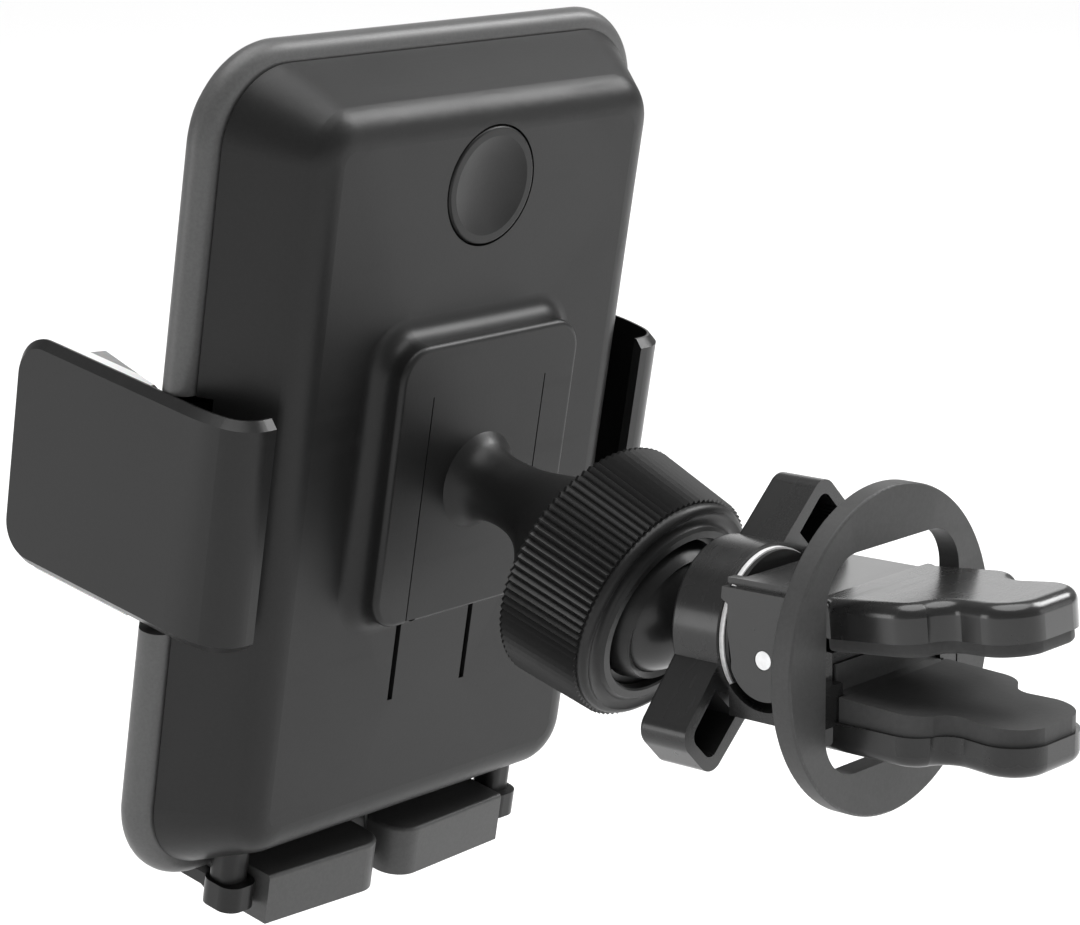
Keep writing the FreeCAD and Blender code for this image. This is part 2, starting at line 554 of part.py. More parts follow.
def arm_pad(name, side):
    b = body(name)
    s = sketch(b, "wedge_plan", "XY_Plane", -D("arm_bottom") - 0.35)
    i = D("arm_out") - D("arm_thick") - 0.02
    add_poly(s, [(i * side, -5.0), (q(35.2) * side, -5.0), (q(34.75) * side, -7.2), (q(32.4) * side, -16.6), (q(35.3) * side, -17.2), (q(35.3) * side, -23.6), (i * side, -23.6)])
    feature(b, "Pad", "wedge", s, D("arm_top") + D("arm_bottom") + 0.2)
    dress(b, "Fillet", "wedge_front", lambda a, c, p, e: close(p.y, -23.6) and close(a.y, c.y) and close(a.z, c.z) and abs(a.x - c.x) > 0.5, 2.6)
    dress(b, "Chamfer", "wedge_bevel", lambda a, c, p, e: close(a.z, 11.5) and close(c.z, 11.5) and -16.7 < p.y < -7.1 and abs(p.x) < 35, 0.8)
    return b


keep(arm_pad("LeftArmPad", 1), "left_arm_pad", CRADLE)
keep(arm_pad("RightArmPad", -1), "right_arm_pad", CRADLE)

# ---- pinion that keeps the two racks in step
b = body("ArmGear")
s = sketch(b, "gear_teeth", "XZ_Plane", 2.45)
pts = []
N = 10
for k in range(N):
    a = 2 * math.pi * k / N
    for ang, rad in ((-0.25, 3.72), (-0.125, 5.0), (-0.062, 5.9), (0.062, 5.9), (0.125, 5.0), (0.25, 3.72)):
        pts.append((rad * math.sin(a + ang), rad * math.cos(a + ang)))
add_poly(s, pts)
feature(b, "Pad", "gear_blank", s, 1.9)
s = sketch(b, "gear_hub", "XZ_Plane", 1.3)
add_circle(s, 0, 0, 3.2)
feature(b, "Pad", "hub", s, 1.4)
s = sketch(b, "gear_hole", "XZ_Plane", 0.5)
add_circle(s, 0, 0, D("gear_bore"))
checked(b, "Pocket", "gear_bore_cut", s, 6.0, rev=True)
keep(b, "arm_gear", at(CRADLE, 0, 0, -TABLE["gear_at"]))

# ---- tray frame: two legs in the cover, collars and a cross bar
b = body("TrayFrame")
s = sketch(b, "legs", "XY_Plane", -53.4)
for side in (1, -1):
    add_rrect(s, (D("leg_in") + D("leg_out")) * (side / 2.0), (D("leg_front") + D("leg_rear")) / 2, (D("leg_out") - D("leg_in")) / 2, (D("leg_rear") - D("leg_front")) / 2, 1.4)
feature(b, "Pad", "leg_bars", s, 41.4)
s = sketch(b, "collars", "XY_Plane", -54.8)
for side in (1, -1):
    add_rrect(s, 23.6 * side, 3.55, 2.6, 2.85, 2.0)
feature(b, "Pad", "collar_blocks", s, 3.3)
s = sketch(b, "cross_bar", "XY_Plane", -55.2)
add_poly(s, [(-22.5, -6.0), (22.5, -6.0), (22.5, 4.0), (-22.5, 4.0)])
feature(b, "Pad", "bar", s, 1.6)
keep(b, "tray_frame", CRADLE)


def foot(name, side):
    b = body(name)
    s = sketch(b, "foot_plan", "XY_Plane", -D("foot_bottom"))
    o = D("foot_out")
    def X(v):
        return q(v) * side
    add_path(s, (X(o), q(7.65)), [("L", (X(4.7), q(8.35))), ("A", (X(2.25), q(7.45)), (X(1.2), q(5.0))), ("L", (X(1.2), q(2.5))), ("L", (X(6.6), q(-3.0))),
                                  ("L", (X(6.6), q(-17.3))), ("A", (X(7.332), q(-19.068)), (X(9.1), q(-19.8))), ("L", (X(12.9), q(-19.8))),
                                  ("A", (X(14.668), q(-19.068)), (X(15.4), q(-17.3))), ("L", (X(o), q(-3.0))), ("L", (X(o), q(7.65)))])
    feature(b, "Pad", "foot_block", s, D("foot_bottom") - D("foot_top"))
    s = sketch(b, "rim_room", "YZ_Plane", -30.0)
    add_poly(s, [(-17.2, -52.9), (0.75, -52.9), (0.75, -50.0), (-17.2, -50.0)])
    checked(b, "Pocket", "rim_way", s, 60.0, rev=True)
    s = sketch(b, "lip_side", "XY_Plane", -51.0)
    add_path(s, (X(6.6), q(-17.3)), [("A", (X(7.332), q(-19.068)), (X(9.1), q(-19.8))), ("L", (X(12.9), q(-19.8))),
                                     ("A", (X(14.668), q(-19.068)), (X(15.4), q(-17.3))), ("L", (X(6.6), q(-17.3)))])
    feature(b, "Pad", "lip", s, 4.5)
    s = sketch(b, "bar_slot", "YZ_Plane", -30.0)
    add_poly(s, [(-6.1, -55.25), (4.1, -55.25), (4.1, -53.5), (-6.1, -53.5)])
    checked(b, "Pocket", "slot", s, 60.0, rev=True)
    dress(b, "Fillet", "foot_edge", lambda a, c, p, e: close(a.z, -50.3) and close(c.z, -50.3) and p.y > 4.9, 0.5)
    return b


keep(foot("LeftFoot", 1), "left_foot", CRADLE)
keep(foot("RightFoot", -1), "right_foot", CRADLE)


# ------------------------------------------------------------------ turned, coiled and lofted pieces
def loop(cx, cy, cz, r, tilt=0.0):
    c = Part.Circle(V(0, 0, 0), V(0, 1, 0), r)
    w = Part.Wire([c.toShape()])
    w.Placement = FreeCAD.Placement(V(cx, cy, cz), turn_x(tilt))
    return w


def coil(pitch, high, radius, wire):
    """A round-wire coil along +Z from zero."""
    path = Part.makeHelix(pitch, high, radius)
    start = V(radius, 0, 0)
    prof = Part.Wire([Part.Circle(start, V(0, 1, pitch / (2 * math.pi * radius)), wire).toShape()])
    sweep = Part.Wire(path.Edges).makePipeShell([prof], True, True)
    return sweep


# ---- spring under the lever's upper end
o = doc.addObject("Part::Feature", "ButtonSpring")
o.Shape = coil(1.05, 4.9, 2.15, 0.25)
keep(o, "button_spring", at(CRADLE, 0, -4.35, TABLE["button_at"], turn_x(-90)))

# ---- opening spring between the pegs of the two racks
o = doc.addObject("Part::Feature", "ArmSpring")
span = math.hypot(34.4, 17.5)
c = coil(1.5, span - 6.0, 1.25, 0.28)
o.Shape = c
_dir = V(34.4, 0, -17.5)
_u = V(_dir).normalize() * 3.0
keep(o, "arm_spring", at(CRADLE, -17.2 + _u.x, 0.75, TABLE["gear_at"] * -1 + 8.75 + _u.z, FreeCAD.Rotation(V(0, 0, 1), _dir)))

# ---- screws
def screw_group(name, places, shank, reach, head, high):
    parts = []
    for x, z in places:
        a = Part.makeCylinder(shank, reach, V(x, 0, z), V(0, 1, 0))
        h = Part.makeCylinder(head, high, V(x, -high, z), V(0, 1, 0))
        d = Part.makeBox(head * 1.5, high * 0.5, 0.5, V(x - head * 0.75, -high, z - 0.25))
        e = Part.makeBox(0.5, high * 0.5, head * 1.5, V(x - 0.25, -high, z - head * 0.75))
        parts.append(a.fuse(h).removeSplitter().cut(d).cut(e))
    o = doc.addObject("Part::Feature", name)
    o.Shape = Part.makeCompound(parts)
    return o


keep(screw_group("CaseScrews", SCREWS, 0.95, 9.8, 2.1, 0.8), "case_screws", at(CRADLE, 0, -5.5, 0))
keep(screw_group("StemScrews", STEM_SCREWS, 0.95, 4.9, 1.9, 1.1), "stem_screws", at(CRADLE, 0, 8.5, 0))

# ---- socket stem: plate in the boss, curved neck and slotted cup
plate_h = TABLE["plate_half"] - 0.08
pl = Part.makeBox(2 * plate_h, TABLE["plate_thick"], TABLE["plate_top"] + TABLE["plate_bottom"], V(-plate_h, YT - TABLE["plate_thick"], -TABLE["plate_bottom"]))
_sock = CRADLE.inverse().multiply(SOCKET)
def in_socket(y):
    return _sock.multVec(V(0, y, 0))
rings = [(YT - 0.4, -0.1, 6.3, 0.0), (YT + 0.3, -0.1, 5.75, 0.0), (YT + 1.1, -0.1, 5.0, 0.0), (YT + 2.4, -0.1, 4.4, -1.0), (YT + 5.0, -0.15, 4.1, -2.0), (YT + 8.0, -0.4, 4.35, -4.0), (YT + 11.2, -1.1, 5.6, -7.0)]
wires = [loop(0, y, z, r, t) for y, z, r, t in rings]
for ys, r in ((-13.0, 8.7), (-10.9, 10.7), (-9.3, 11.7)):
    p = in_socket(ys)
    wires.append(loop(p.x, p.y, p.z, r, -TABLE["droop"]))
neck = Part.makeLoft(wires, True, False)
if neck.Volume < 0:
    neck.reverse()
def turned(points):
    """Solid turned about Y from (radius, y) points; a third value marks an arc's middle."""
    edges = []
    cur = points[0]
    i = 1
    while i < len(points):
        p = points[i]
        if len(p) == 3:
            e = points[i + 1]
            edges.append(Part.Arc(V(cur[0], cur[1], 0), V(p[0], p[1], 0), V(e[0], e[1], 0)).toShape())
            cur = e
            i += 2
        else:
            edges.append(Part.LineSegment(V(cur[0], cur[1], 0), V(p[0], p[1], 0)).toShape())
            cur = p
            i += 1
    f = Part.Face(Part.Wire(edges))
    return f.revolve(V(0, 0, 0), V(0, 1, 0), 360)
ci, co = TABLE["cup_in"], TABLE["cup_out"]
yl = 2.4
xl = math.sqrt(ci * ci - yl * yl)
cup = turned([(0, -11.9), (10.0, -11.9), (co, -9.6), (co, 0.6), (10.75, yl), (xl, yl), (ci, 0.0, 1), (0, -ci), (0, -11.9)])
# arc above runs over the sphere's side through its lowest point
cup = turned([(0, -11.9), (10.0, -11.9), (co, -9.6), (co, 0.6), (10.75, yl), (xl, yl), (ci * math.cos(math.radians(-30)), ci * math.sin(math.radians(-30)), 1), (0, -ci), (0, -11.9)])
for k in range(4):
    sl = Part.makeBox(1.2, 6.0, 16.0, V(-0.6, -3.4, 0))
    sl.rotate(V(0, 0, 0), V(0, 1, 0), 45 + 90 * k)
    cup = cup.cut(sl)
cup.Placement = _sock
stem = pl.fuse(neck).fuse(cup)
hollow = Part.makeSphere(ci)
hollow.Placement = _sock
stem = stem.cut(hollow)
for x, z in STEM_SCREWS:
    stem = stem.cut(Part.makeCylinder(1.0, 2.6, V(x, YT - TABLE["plate_thick"] - 0.1, z), V(0, 1, 0)))
stem = stem.removeSplitter()
o = doc.addObject("Part::Feature", "SocketStem")
o.Shape = stem
keep(o, "socket_stem", CRADLE)

# ---- knurled ball nut
def star(y, r, depth, count):
    pts = []
    for k in range(count):
        a = 2 * math.pi * k / count
        c = 2 * math.pi * (k + 0.5) / count
        pts.append(V(r * math.cos(a), y, r * math.sin(a)))
        pts.append(V((r - depth) * math.cos(c), y, (r - depth) * math.sin(c)))
    pts.append(pts[0])
    return Part.makePolygon(pts)
y0 = -TABLE["nut_front_at"]
y1 = y0 + TABLE["nut_knurl"]
rf, rr = TABLE["nut_front_round"], TABLE["nut_rear_round"]
KN = 96
knurl = Part.makeLoft([star(y0, rf - 0.25, 0.45, KN), star(y0 + 0.4, rf, 0.5, KN), star(y1, rr, 0.5, KN)], True, True)
if knurl.Volume < 0:
    knurl.reverse()
no, nb = TABLE["nut_open"], TABLE["nut_bore"]
tail = turned([(nb, y1 - 2.0), (13.75, y1 - 2.0), (13.75, y1 + 0.25), (13.5, y1 + 0.85, 1), (12.95, y1 + 1.1), (12.15, y1 + 0.82, 1), (11.35, y1 + 1.35), (11.0, 4.0), (no + 0.2, 4.0), (no, 3.8), (no, 2.75), (11.0, 2.75), (nb, 0.8), (nb, y1 - 2.0)])
bore = turned([(0, y0 - 1), (nb + 0.5, y0 - 1), (nb + 0.5, y0 - 0.001), (nb, y0 + 0.5), (nb, 0.8), (11.0, 2.75), (0, 2.75), (0, y0 - 1)])
nut = knurl.cut(bore).fuse(tail)
o = doc.addObject("Part::Feature", "BallNut")
o.Shape = nut
keep(o, "ball_nut", SOCKET)

# ---- ball seats: spherical shells each side of the ball
def shell_band(name, a0, a1):
    b = body(name)
    s = sketch(b, "band", "XY_Plane")
    def pt(r, deg):
        a = math.radians(deg)
        return (r.v * math.sin(a), -r.v * math.cos(a))
    ri, ro = D("seat_in"), D("seat_out")
    mid = (a0 + a1) / 2.0
    add_path(s, pt(ri, a0), [("A", pt(ri, mid), pt(ri, a1)), ("L", pt(ro, a1)), ("A", pt(ro, mid), pt(ro, a0)), ("L", pt(ri, a0))])
    revolve(b, "band_turned", s)
    return b


keep(shell_band("FrontSeat", 14.0, 66.0), "front_ball_seat", SOCKET)
keep(shell_band("RearSeat", 96.0, 122.0), "rear_ball_seat", SOCKET)

# ================================================================== CLIP
# ---- clip frame: ball, neck, threaded stem, hinge block and lower jaw
def jaw_plan(s, y_back, inset=0.0, rear_half=None):
    lo, wa, ti, ta = D("lobe_half") - inset, D("waist_half") - inset, D("tip_half") - inset, D("tip_at") - inset
    rh = rear_half if rear_half is not None else D("cheek_out")
    def side(sg):
        return [(lo * sg, q(34.6)), (lo * sg, q(42.7)), ((lo - 0.55) * sg, q(44.6)), ((lo - 1.9) * sg, q(45.9)), ((wa + 0.5) * sg, q(46.85)), (wa * sg, q(48.8)), (ti * sg, q(51.6)), ((ti - 1.0) * sg, q(55.02 - inset)), (q(2.6) * sg, ta)]
    a = side(1)
    c = side(-1)
    add_path(s, (rh, q(y_back)), [("L", (rh, q(31.0))) if y_back < 31.0 else ("L", (lo - 0.02, q(y_back + 0.02))),
                                 ("L", a[0]), ("L", a[1]), ("A", a[2], a[3]), ("A", a[4], a[5]), ("L", a[6]), ("A", a[7], a[8]),
                                 ("L", c[8]), ("A", c[7], c[6]), ("L", c[5]), ("A", c[4], c[3]), ("A", c[2], c[1]), ("L", c[0]),
                                 ("L", (-rh, q(31.0))) if y_back < 31.0 else ("L", (-(lo - 0.02), q(y_back + 0.02))), ("L", (-rh, q(y_back))), ("L", (rh, q(y_back)))])


b = body("ClipFrame")
s = sketch(b, "ball_and_stem", "XY_Plane")
br, nr = TABLE["ball_round"], TABLE["neck_round"]
yn = math.sqrt(br * br - nr * nr)
add_path(s, (0, -br), [("A", (br * math.cos(math.radians(-20)), br * math.sin(math.radians(-20))), (nr, yn)), ("A", (nr + 0.1, 9.0), (D("stem_round"), 10.6)), ("L", (D("stem_round"), 20.9)), ("L", (0, 20.9)), ("L", (0, -br))])
revolve(b, "ball_turned", s)
s = sketch(b, "block_side", "YZ_Plane", -D("cheek_out"))
add_poly(s, [(19.55, -D("base_low")), (D("throat_at"), -D("base_low")), (D("throat_at"), 1.4), (23.4, 1.8), (20.4, 0.5), (19.55, -0.6)])
feature(b, "Pad", "block", s, D("cheek_out") * 2)
s = sketch(b, "jaw_plan", "XY_Plane", -D("jaw_low"))
jaw_plan(s, 27.0)
feature(b, "Pad", "jaw_slab", s, D("jaw_low") - D("jaw_line"))
dress(b, "Fillet", "jaw_under", lambda a, c, p, e: close(a.z, -9.3) and close(c.z, -9.3) and p.y > 34.7, 1.4)
for side in (1, -1):
    s = sketch(b, "cheek_room_%d" % (side + 2), "YZ_Plane", 6.15 * side)
    add_circle(s, D("pin_at"), -D("pin_low"), 5.85)
    checked(b, "Pocket", "cheek_cut_%d" % (side + 2), s, 5.0, rev=(side > 0))
    s = sketch(b, "cheek_top_%d" % (side + 2), "YZ_Plane", 6.15 * side)
    add_poly(s, [(19.0, -2.6), (D("pin_at") + 5.85, -1.15), (D("pin_at") + 5.85, 3.0), (19.0, 3.0)])
    checked(b, "Pocket", "cheek_top_cut_%d" % (side + 2), s, 5.0, rev=(side > 0))
s = sketch(b, "spring_room", "YZ_Plane", -2.6)
add_poly(s, [(21.6, -4.6), (30.2, -4.6), (30.2, 2.4), (21.6, 2.4)])
checked(b, "Pocket", "spring_slot", s, 5.2, rev=True)
s = sketch(b, "pin_bore", "YZ_Plane", -12.0)
add_circle(s, D("pin_at"), -D("pin_low"), D("pin_round") + 0.01)
checked(b, "Pocket", "pin_hole", s, 24.0, rev=True)
s = sketch(b, "ring_lugs", "XZ_Plane", -D("ring_at") + 0.1)
for side in (1, -1):
    add_poly(s, [(9.0 * side, -6.2), ((D("hole_half_wide") - 0.03) * side, -6.2), ((D("hole_half_wide") - 0.03) * side, -1.6), (9.0 * side, -1.6)])
feature(b, "Pad", "lugs", s, D("ring_thick") - 0.2)
keep(b, "clip_frame", CLIP)

# ---- upper jaw
def jf(y, z):
    """A point measured on the open jaw, taken back to the parallel jaw."""
    a = math.radians(-TABLE["jaw_open"])
    dy, dz = y - TABLE["pin_at"], z + TABLE["pin_low"]
    return (TABLE["pin_at"] + dy * math.cos(a) - dz * math.sin(a), -TABLE["pin_low"] + dy * math.sin(a) + dz * math.cos(a))


b = body("UpperJaw")
s = sketch(b, "jaw_side", "YZ_Plane", -D("lobe_half"))
heel = jf(19.85, 4.6)
heel_top = jf(19.85, 6.6)
heel_crest = jf(20.3, 7.25)
add_poly(s, [heel, heel_top, heel_crest, (33.0, D("upper_top")), (61.0, D("upper_top")), (61.0, D("upper_line")), (21.4, D("upper_line")), (20.8, 4.2)])
feature(b, "Pad", "jaw_profile", s, D("lobe_half") * 2)
s = sketch(b, "outside_plan", "XY_Plane", 0.0)
add_poly(s, [(-30, 10), (30, 10), (30, 70), (-30, 70)])
jaw_plan(s, 15.0)
checked(b, "Pocket", "outline", s, 12.0, rev=True)
dress(b, "Fillet", "jaw_top", lambda a, c, p, e: p.z > 6.3 and p.y > 34.65 and close(a.z, c.z) and not (close(a.y, c.y) and abs(a.x - c.x) > 15), 1.5)
for side in (1, -1):
    s = sketch(b, "cheek_%d" % (side + 2), "YZ_Plane", D("cheek_in") * side)
    pa, pl_, cr = TABLE["pin_at"], -TABLE["pin_low"], 4.68
    ends = [(pa + cr * math.cos(math.radians(t)), pl_ + cr * math.sin(math.radians(t))) for t in (195.0, 270.0, 345.0)]
    add_path(s, ends[0], [("A", ends[1], ends[2]), ("L", (29.4, 3.2)), ("L", heel), ("L", ends[0])])
    feature(b, "Pad", "cheek_plate_%d" % (side + 2), s, D("cheek_out") - D("cheek_in"), rev=(side < 0))
s = sketch(b, "jaw_pin_bore", "YZ_Plane", -12.0)
add_circle(s, D("pin_at"), -D("pin_low"), D("pin_round") + 0.07)
checked(b, "Pocket", "jaw_pin_hole", s, 24.0, rev=True)
s = sketch(b, "stem_room", "YZ_Plane", -5.35)
add_poly(s, [(16.0, -3.0), (22.8, -3.0), (22.8, 5.72), (18.0, 6.78), (16.0, 6.78)])
checked(b, "Pocket", "stem_notch", s, 10.7, rev=True)
for side in (1, -1):
    s = sketch(b, "nub_%d" % (side + 2), "YZ_Plane", 6.5 * side)
    n1, n2 = jf(19.06, 2.6), jf(19.06, 1.7)
    add_poly(s, [(22.0, 3.4), n1, n2, (22.0, 1.0)])
    feature(b, "Pad", "push_nub_%d" % (side + 2), s, 1.8, rev=(side < 0))
for side in (1, -1):
    s = sketch(b, "top_step_%d" % (side + 2), "YZ_Plane", 8.3 * side)
    t1, t2, t3, t4 = jf(17.0, 6.3), jf(32.0, 6.45), jf(33.6, 12.0), jf(17.0, 12.0)
    add_poly(s, [t1, t2, t3, t4])
    checked(b, "Pocket", "step_%d" % (side + 2), s, 4.0, rev=(side > 0))
    s = sketch(b, "horn_%d" % (side + 2), "YZ_Plane", 7.0 * side)
    h1, h2, h3, h4 = jf(18.6, 7.18), jf(20.4, 7.24), jf(20.4, 6.3), jf(18.6, 6.6)
    add_poly(s, [h1, h2, h3, h4])
    feature(b, "Pad", "horn_block_%d" % (side + 2), s, 1.3, rev=(side < 0))
for side in (1, -1):
    s = sketch(b, "ear_%d" % (side + 2), "YZ_Plane", 8.3 * side)
    e1 = jf(18.5, 6.3)
    e2 = jf(18.38, 4.95)
    e2b = jf(19.28, 4.4)
    e3 = jf(19.22, 1.9)
    e4 = jf(19.9, -2.3)
    add_poly(s, [(e1[0], e1[1]), (e2[0], e2[1]), (e2b[0], e2b[1]), (e3[0], e3[1]), (e4[0], e4[1]), (22.5, 0.0), (22.5, 6.2), jf(20.4, 6.35)])
    feature(b, "Pad", "ear_plate_%d" % (side + 2), s, D("cheek_out") - 8.3, rev=(side < 0))
keep(b, "upper_jaw", JAW)

# ---- pads of the jaws
b = body("UpperPad")
s = sketch(b, "upper_pad_plan", "XY_Plane", 0.78)
jaw_plan(s, 34.0, 0.4)
feature(b, "Pad", "upper_rubber", s, D("upper_line") - 0.78)
dress(b, "Fillet", "upper_pad_edge", lambda a, c, p, e: close(a.z, 0.78) and close(c.z, 0.78), 0.5)
keep(b, "upper_pad", JAW)

b = body("LowerPad")
s = sketch(b, "lower_pad_side", "YZ_Plane", -11.0)
add_poly(s, [(35.05, -D("jaw_line")), (60.5, -D("jaw_line")), (60.5, -4.15), (35.05, -3.05)])
feature(b, "Pad", "lower_rubber", s, 22.0)
s = sketch(b, "lower_outside", "XY_Plane", -7.0)
add_poly(s, [(-30, 10), (30, 10), (30, 70), (-30, 70)])
jaw_plan(s, 34.0, 0.4)
checked(b, "Pocket", "lower_outline", s, 6.0, rev=True)
s = sketch(b, "throat_side", "YZ_Plane", -8.9)
add_poly(s, [(D("throat_at"), -D("jaw_line")), (35.4, -D("jaw_line")), (35.4, -3.1), (34.35, -2.7), (33.97, -1.9), (33.95, 0.2), (D("throat_at"), 0.2)])
feature(b, "Pad", "throat_facing", s, 17.8)
keep(b, "lower_pad", CLIP)

# ---- hinge pin and its spring
pin = doc.addObject("Part::Cylinder", "HingePin")
pin.setExpression("Radius", "Dims.pin_round")
pin.Height = 18.3
keep(pin, "hinge_pin", at(CLIP, -9.15, TABLE["pin_at"], -TABLE["pin_low"], FreeCAD.Rotation(V(0, 1, 0), 90)))

o = doc.addObject("Part::Feature", "JawSpring")
o.Shape = coil(0.95, 4.3, 1.85, 0.36)
keep(o, "jaw_spring", at(CLIP, -2.15, TABLE["pin_at"], -TABLE["pin_low"], FreeCAD.Rotation(V(0, 1, 0), 90)))

# ---- wing nut: ring, two pocketed wings
b = body("WingNut")
s = sketch(b, "ring_plan", "XZ_Plane", -D("wing_at"))
add_circle(s, 0, 0, D("wing_ring"))
feature(b, "Pad", "ring_band", s, D("wing_deep"), rev=True)
for side in (1, -1):
    s = sketch(b, "wing_%d" % (side + 2), "XZ_Plane", -D("wing_at"))
    w0, w1, rr_ = D("wing_root"), D("wing_tip"), D("wing_reach")
    add_path(s, (q(6.0) * side, -w0), [("L", ((rr_ - 2.4) * side, -w1)), ("A", ((rr_ - 0.62) * side, -(w1 - 0.72)), (rr_ * side, -(w1 - 2.4))), ("L", (rr_ * side, w1 - 2.4)),
                                      ("A", ((rr_ - 0.62) * side, w1 - 0.72), ((rr_ - 2.4) * side, w1)), ("L", (q(6.0) * side, w0)), ("L", (q(6.0) * side, -w0))])
    feature(b, "Pad", "wing_block_%d" % (side + 2), s, D("wing_deep"), rev=True)
dress(b, "Fillet", "wing_edges", lambda a, c, p, e: close(a.y, 11.3) and close(c.y, 11.3) and close(p.y, 11.3), 0.45)
for side in (1, -1):
    s = sketch(b, "wing_hollow_%d" % (side + 2), "XZ_Plane", -D("wing_at") - D("wing_deep"))
    w0, w1, rr_ = D("wing_root"), D("wing_tip"), D("wing_reach")
    add_path(s, (q(10.7) * side, -(w0 - 1.9)), [("L", ((rr_ - 2.7) * side, -(w1 - 1.5))), ("A", ((rr_ - 1.75) * side, -(w1 - 1.95)), ((rr_ - 1.4) * side, -(w1 - 2.9))), ("L", ((rr_ - 1.4) * side, w1 - 2.9)),
                                      ("A", ((rr_ - 1.75) * side, w1 - 1.95), ((rr_ - 2.7) * side, w1 - 1.5)), ("L", (q(10.7) * side, w0 - 1.9)), ("L", (q(10.7) * side, -(w0 - 1.9)))])
    checked(b, "Pocket", "hollow_%d" % (side + 2), s, 5.2, rev=True)
s = sketch(b, "thread_bore", "XZ_Plane", -D("wing_at") - D("wing_deep") - 1.0)
add_circle(s, 0, 0, D("stem_round") + 0.07)
checked(b, "Pocket", "thread_hole", s, 9.0, rev=True)
keep(b, "wing_nut", at(CLIP, 0, 0, 0, FreeCAD.Rotation(V(0, 1, 0), 45)))

# ---- thrust washer
b = body("ThrustWasher")
s = sketch(b, "washer_plan", "XZ_Plane", -D("washer_at"))
add_circle(s, 0, 0, D("washer_round"))
add_circle(s, 0, 0, D("washer_bore"))
feature(b, "Pad", "washer", s, D("washer_thick"), rev=True)
keep(b, "thrust_washer", CLIP)

b = body("WasherDisc")
s = sketch(b, "disc_plan", "XZ_Plane", -D("washer_at") - D("washer_thick"))
add_circle(s, 0, 0, D("washer_round") - 0.2)
add_circle(s, 0, 0, D("washer_bore"))
feature(b, "Pad", "disc", s, D("disc_thick"), rev=True)
keep(b, "washer_disc", CLIP)

# ---- support ring round the jaws
b = body("SupportRing")
s = sketch(b, "ring_face", "XZ_Plane", -D("ring_at"))
add_circle(s, 0, 0, D("ring_round"))
add_rrect(s, 0, 0, D("hole_half_wide"), D("hole_half_tall"), D("hole_corner"))
feature(b, "Pad", "ring_plate", s, D("ring_thick"))
dress(b, "Fillet", "ring_edges", lambda a, c, p, e: close(math.hypot(p.x, p.z), 18.45, 0.01) and close(a.y, c.y), 0.3)
keep(b, "support_ring", CLIP)

# ------------------------------------------------------------------ checks, then the files
doc.recompute()
bad = []
for o in doc.Objects:
    if "Invalid" in o.State or "Error" in o.State:
        bad.append("%s %s" % (o.Label, o.State))
for label, o in PARTS:
    sh = o.Shape
    if sh.isNull() or not sh.isValid():
        bad.append("%s shape" % label)
if bad:
    raise RuntimeError("; ".join(bad))
os.makedirs("parts", exist_ok=True)
for label, o in PARTS:
    sh = o.Shape
    print("%-16s solids %d  faces %4d  volume %9.1f  %s" % (label, len(sh.Solids), len(sh.Faces), sh.Volume, sh.BoundBox))
    sh.exportStep("parts/%s.step" % label)
print("pieces", len(PARTS))
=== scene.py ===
import json
import math

import bmesh
import bpy
from mathutils import Matrix, Vector


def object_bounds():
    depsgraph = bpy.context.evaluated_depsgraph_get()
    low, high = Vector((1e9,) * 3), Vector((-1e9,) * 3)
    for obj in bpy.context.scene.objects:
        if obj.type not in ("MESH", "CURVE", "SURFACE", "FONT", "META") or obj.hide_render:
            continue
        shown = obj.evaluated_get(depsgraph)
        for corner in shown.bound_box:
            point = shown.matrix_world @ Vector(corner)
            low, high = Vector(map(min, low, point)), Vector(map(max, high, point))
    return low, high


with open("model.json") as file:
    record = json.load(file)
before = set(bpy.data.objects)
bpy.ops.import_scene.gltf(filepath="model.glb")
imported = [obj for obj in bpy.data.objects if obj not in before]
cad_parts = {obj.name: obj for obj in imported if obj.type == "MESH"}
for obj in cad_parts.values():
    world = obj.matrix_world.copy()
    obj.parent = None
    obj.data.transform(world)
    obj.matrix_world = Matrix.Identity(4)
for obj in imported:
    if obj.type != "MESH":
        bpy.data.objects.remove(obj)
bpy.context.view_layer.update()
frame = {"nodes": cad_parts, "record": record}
nodes = frame["nodes"]


